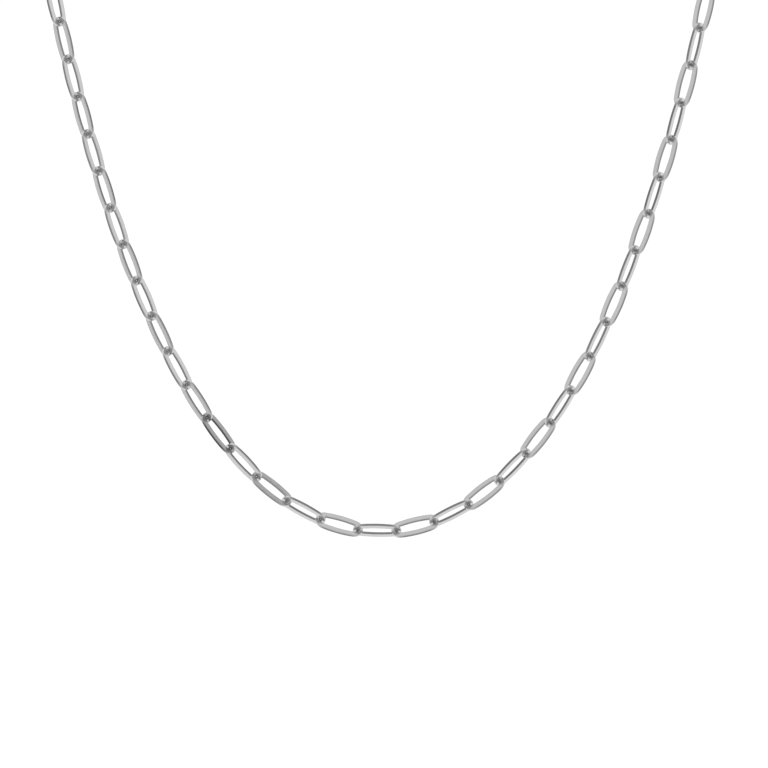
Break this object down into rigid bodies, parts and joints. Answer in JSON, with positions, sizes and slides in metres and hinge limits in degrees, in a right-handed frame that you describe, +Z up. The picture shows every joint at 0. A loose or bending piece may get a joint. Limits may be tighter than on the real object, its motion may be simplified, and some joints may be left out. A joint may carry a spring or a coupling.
{
  "type": "paperclip chain necklace",
  "caption": "Closed neck chain of long oval filed-wire links, each turned square to the next, hanging in a deep curve in front, with a plain clasp at the nape.",
  "frame": {"origin": "the point of the chain's line that rests at the middle of the nape, where the necklace hangs on the back of the neck", "axes": "+Z up, +Y to the wearer's back, +X to the viewer's right when the hanging front is seen along +Y"},
  "size_m": [0.1127, 0.0827, 0.1231],
  "materials": {
    "link_silver": "bright polished silver, filed flat, with fine polishing lines",
    "clasp_silver": "bright polished cast silver"
  },
  "bodies": {
    "root": {"chain": "link_silver", "clasp": "clasp_silver"}
  },
  "joints": []
}
